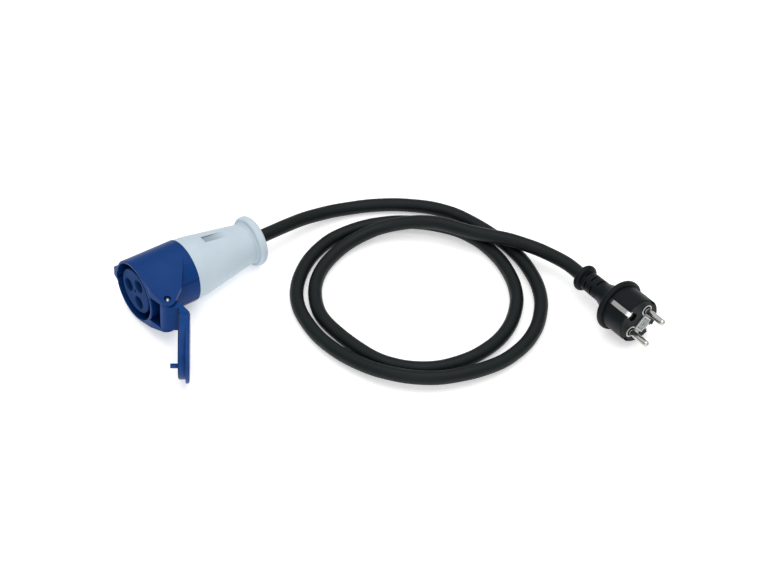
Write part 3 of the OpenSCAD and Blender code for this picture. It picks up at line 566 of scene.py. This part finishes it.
def finish_surface(tree, shader, group, depth, strength):
    """Colour, roughness and bump of a group onto the shader, with the bump's depth in metres, on normals
    that round off sharp edges."""
    rounding = tree.nodes.new("ShaderNodeBevel")
    rounding.samples = EDGE_SAMPLES
    rounding.inputs["Radius"].default_value = EDGE_ROUND
    bump = tree.nodes.new("ShaderNodeBump")
    tree.links.new(rounding.outputs["Normal"], bump.inputs["Normal"])
    bump.inputs["Distance"].default_value = depth
    bump.inputs["Strength"].default_value = strength
    tree.links.new(group.outputs["Height"], bump.inputs["Height"])
    tree.links.new(group.outputs["Colour"], shader.inputs["Base Color"])
    tree.links.new(group.outputs["Roughness"], shader.inputs["Roughness"])
    tree.links.new(bump.outputs["Normal"], shader.inputs["Normal"])


def moulded(name, colour, flow_colour, crease_shade, roughness, grain, depth, flow=FLOW_SIZE, spread=GLOSS_SPREAD,
            level=MIRROR_LEVEL, reach=CREASE_SHADE_REACH):
    """Moulded plastic or rubber on Object coordinates, with painted shade in hollows as wide as the reach.
    """
    material, tree, shader = new_material(name)
    shader.inputs["Specular IOR Level"].default_value = level
    skin = place_group(tree, MOULDED_SKIN, {
        "Colour": colour, "Flow Colour": flow_colour, "Painted Crease Shade": crease_shade, "Flow Size": flow,
        "Grain Size": grain, "Crease Shade Size": reach, "Roughness": roughness, "Gloss Spread": spread,
    })
    where = tree.nodes.new("ShaderNodeTexCoord")
    tree.links.new(where.outputs["Object"], skin.inputs["Place"])
    finish_surface(tree, shader, skin, depth, GRAIN_STRENGTH)
    return material


def jacket_rubber():
    """Cable jacket on its own uv, in metres round and along, so grain and streaks follow the cable."""
    material, tree, shader = new_material("jacket_rubber")
    shader.inputs["Specular IOR Level"].default_value = JACKET_LEVEL
    skin = place_group(tree, MOULDED_SKIN, JACKET_SKIN)
    where = tree.nodes.new("ShaderNodeUVMap")
    where.uv_map = "surface"
    drawn = tree.nodes.new("ShaderNodeMapping")
    drawn.inputs["Scale"].default_value = JACKET_DRAW
    tree.links.new(where.outputs["UV"], drawn.inputs["Vector"])
    tree.links.new(drawn.outputs["Vector"], skin.inputs["Place"])
    finish_surface(tree, shader, skin, JACKET_DEPTH, JACKET_STRENGTH)
    return material


def metal(name, colour, tarnish, roughness, turn, squeeze):
    """Bare metal with drawn lines: the lines run along the direction that the mapping squeezes."""
    material, tree, shader = new_material(name)
    shader.inputs["Metallic"].default_value = 1.0
    sheet = place_group(tree, DRAWN_METAL, {
        "Colour": colour, "Tarnish Colour": tarnish, "Line Size": LINE_SIZE, "Tarnish Size": TARNISH_SIZE,
        "Roughness": roughness, "Gloss Spread": LINE_SPREAD,
    })
    where = tree.nodes.new("ShaderNodeTexCoord")
    mapping = tree.nodes.new("ShaderNodeMapping")
    mapping.inputs["Rotation"].default_value = turn
    mapping.inputs["Scale"].default_value = squeeze
    tree.links.new(where.outputs["Object"], sheet.inputs["Place"])
    tree.links.new(where.outputs["Object"], mapping.inputs["Vector"])
    tree.links.new(mapping.outputs["Vector"], sheet.inputs["Lines"])
    finish_surface(tree, shader, sheet, LINE_DEPTH, LINE_STRENGTH)
    return material


# Tones on parts of a piece, painted shade and a painted highlight among them

def station(tree, axis):
    """Way along an axis through the origin, from Object coordinates: returns its value socket."""
    where = tree.nodes.new("ShaderNodeTexCoord")
    along = tree.nodes.new("ShaderNodeVectorMath")
    along.operation = "DOT_PRODUCT"
    along.inputs[1].default_value = axis
    tree.links.new(where.outputs["Object"], along.inputs[0])
    return along.outputs["Value"]


def tint(material, share, colour):
    """Another colour over a material's own, by a share that changes over the surface."""
    tree = material.node_tree
    base = tree.nodes["Principled BSDF"].inputs["Base Color"]
    tree.links.new(blend_colours(tree, share, base.links[0].from_socket, colour), base)


def paint_relief_shadow(material, colour):
    """Painted shadow line along the upper and lower edges of the relief behind the ears."""
    tree = material.node_tree
    high = maths(tree, "ABSOLUTE", station(tree, COUPLER_TOP))
    off_edge = maths(tree, "ABSOLUTE", maths(tree, "SUBTRACT", high, RELIEF_EDGE))
    on_line = stretch(tree, off_edge, RELIEF_SHADOW_LINE, RELIEF_SHADOW_LINE / 2)
    behind = stretch(tree, station(tree, COUPLER_AXIS), RELIEF_FRONT, RELIEF_FRONT - RELIEF_SHADOW_LINE)
    outside = stretch(tree, station(tree, HINGE_SIDE), RELIEF_OUT - RELIEF_SHADOW_LINE, RELIEF_OUT)
    tint(material, overlap(tree, on_line, behind, outside), colour)


def paint_slot_shade(material, colour):
    """Painted shade within the plan of the grip's latch slots, full at the deep front, gone at the rear."""
    tree = material.node_tree
    along = station(tree, COUPLER_AXIS)
    across = maths(tree, "ABSOLUTE", station(tree, HINGE_SIDE))
    inside = stretch(tree, across, SLOT_WIDTH / 2 + SLOT_SOFT, SLOT_WIDTH / 2)
    behind = stretch(tree, along, SLOT_FRONT + SLOT_SOFT, SLOT_FRONT)
    fade = stretch(tree, along, SLOT_REAR, SLOT_FADE)
    tint(material, overlap(tree, inside, behind, fade), colour)


def shade_panel(material, colour):
    """Deeper tone on the bridge's sunk panel, between two stations ahead of the plug's face."""
    tree = material.node_tree
    along = station(tree, PLUG_AXIS)
    low = PLUG_FACE + PANEL_LOW
    high = PLUG_FACE + PANEL_HIGH
    above = stretch(tree, along, low, low + PANEL_FADE)
    below = stretch(tree, along, high, high - PANEL_FADE)
    tint(material, overlap(tree, above, below), colour)


def paint_end_highlight(material, colour):
    """Painted highlight on a strip's bent end, past a station on the plug's axis just behind its face."""
    tree = material.node_tree
    along = station(tree, PLUG_AXIS)
    tint(material, stretch(tree, along, PLUG_FACE - BENT_END_FROM, PLUG_FACE - BENT_END_FULL), colour)


def cover_end(material, colour):
    """Rubber's tone on a strip's rear end, behind the station on the plug's axis where rubber covers it."""
    tree = material.node_tree
    edge = PLUG_FACE - STRIP_COVER
    covered = stretch(tree, station(tree, PLUG_AXIS), edge, edge - STRIP_FADE)
    tint(material, covered, colour)
    bare = maths(tree, "SUBTRACT", 1.0, covered)
    tree.links.new(bare, tree.nodes["Principled BSDF"].inputs["Metallic"])


def dress(material, nodes):
    """Material onto the slots of CAD nodes."""
    for name in nodes:
        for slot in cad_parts[name].material_slots:
            slot.material = material


def dress_all(flare):
    """Every CAD node but the cable in its finish, the flare in the plug's rubber, then the tones: a painted
    shadow line on the relief, painted shade in the slots, the panel's tone, a painted highlight on the
    strips' bent ends and rubber's tone on their rear ends.
    """
    finishes = {}
    for maker, table in ((moulded, MOULDINGS), (metal, METALS)):
        for name, (nodes, finish) in table.items():
            finishes[name] = maker(name, **finish)
            dress(finishes[name], nodes)
    flare.data.materials.append(finishes["plug_rubber"])
    paint_relief_shadow(finishes["blue_housing"], NAVY_SHADE)
    paint_slot_shade(finishes["pale_grip"], SLOT_SHADE_GREY)
    shade_panel(finishes["grey_insert"], PANEL_GREY)
    paint_end_highlight(finishes["nickel_strip"], HIGHLIGHT_NICKEL)
    cover_end(finishes["nickel_strip"], BLACK)


# Light and floor

WHITE = (1.0, 1.0, 1.0, 1.0)
FLOOR_TONE = (0.92, 0.92, 0.92, 1.0)
FLOOR_ROUGHNESS = 0.9
FLOOR_GLOW = 0.38
FLOOR_SIZE = 8.0

# Surround: its strength at the horizon and overhead, and the height on a sky of radius one where it is full
HORIZON_LIGHT = 0.3
OVERHEAD_LIGHT = 0.8
OVERHEAD_FROM = 0.7

# Soft boxes by name: place, side in metres and power in watts
SOFT_BOXES = {
    "top_box": ((-0.25, 0.1, 1.6), 1.6, 12.0),
    "front_box": ((0.9, 1.2, 0.9), 1.0, 5.0),
}


def add_area_light(name, place, side, power):
    """Square soft box at a place, turned to the camera's target."""
    light = bpy.data.lights.new(name, "AREA")
    light.size = side
    light.energy = power
    box = bpy.data.objects.new(name, light)
    box.location = place
    box.rotation_euler = (Vector(place) - VIEW_TARGET).to_track_quat("Z", "Y").to_euler()
    bpy.context.collection.objects.link(box)


def add_surround():
    """White surround, bright overhead and dimmer at the horizon, so that gloss and metal show form."""
    world = bpy.data.worlds.new("surround")
    world.use_nodes = True
    tree = world.node_tree
    where = tree.nodes.new("ShaderNodeTexCoord")
    height = tree.nodes.new("ShaderNodeSeparateXYZ")
    tree.links.new(where.outputs["Generated"], height.inputs["Vector"])
    strength = stretch(tree, height.outputs["Z"], 0.0, OVERHEAD_FROM, HORIZON_LIGHT, OVERHEAD_LIGHT)
    tree.links.new(strength, tree.nodes["Background"].inputs["Strength"])
    tree.nodes["Background"].inputs["Color"].default_value = WHITE
    bpy.context.scene.world = world


def add_studio():
    """White floor that glows a little as on a light table, the surround, and soft boxes over and beside."""
    bpy.context.scene.view_settings.view_transform = "Standard"
    bpy.ops.mesh.primitive_plane_add(size=FLOOR_SIZE, location=(VIEW_TARGET.x, VIEW_TARGET.y, FLOOR_Z))
    floor = bpy.context.object
    floor.name = "floor"
    material, _, shader = new_material("pale_floor")
    shader.inputs["Base Color"].default_value = FLOOR_TONE
    shader.inputs["Roughness"].default_value = FLOOR_ROUGHNESS
    shader.inputs["Emission Color"].default_value = WHITE
    shader.inputs["Emission Strength"].default_value = FLOOR_GLOW
    floor.data.materials.append(material)
    add_surround()
    for name, (place, side, power) in SOFT_BOXES.items():
        add_area_light(name, place, side, power)


add_camera()
cable, cable_path = cable_piece()
cable.data.materials.append(jacket_rubber())
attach(cable, "housing")
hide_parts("cable")
neck_flare = flare_piece()
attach(neck_flare, "housing")
dress_all(neck_flare)
add_studio()
